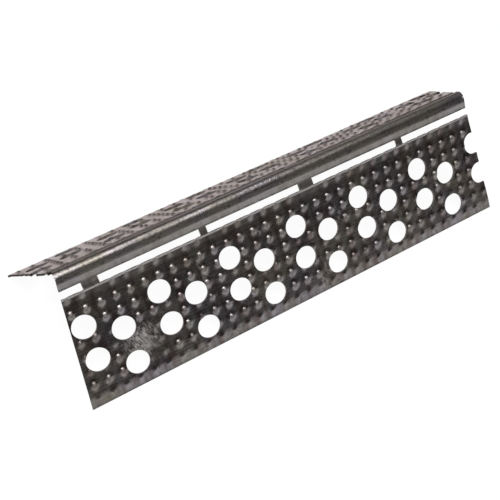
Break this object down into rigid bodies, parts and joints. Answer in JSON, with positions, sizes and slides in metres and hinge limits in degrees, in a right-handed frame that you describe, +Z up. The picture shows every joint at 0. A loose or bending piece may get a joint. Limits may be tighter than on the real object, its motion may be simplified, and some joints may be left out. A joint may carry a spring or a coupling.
{
  "type": "drywall corner bead",
  "caption": "Short cut length of knurled, perforated steel corner bead with a rounded nose, rows of slots beside the nose and staggered round holes in both flanges.",
  "frame": {"origin": "centre of the bounding box on the floor, between the free edges of the two flanges", "axes": "+X along the bead towards its longer right end, +Y towards the back flange, +Z up from the floor to the nose"},
  "size_m": [0.1272, 0.0414, 0.0228],
  "materials": {
    "galvanised_steel": "zinc-coated, knurled, glossy"
  },
  "bodies": {
    "root": {"corner_bead": "galvanised_steel"}
  },
  "joints": []
}
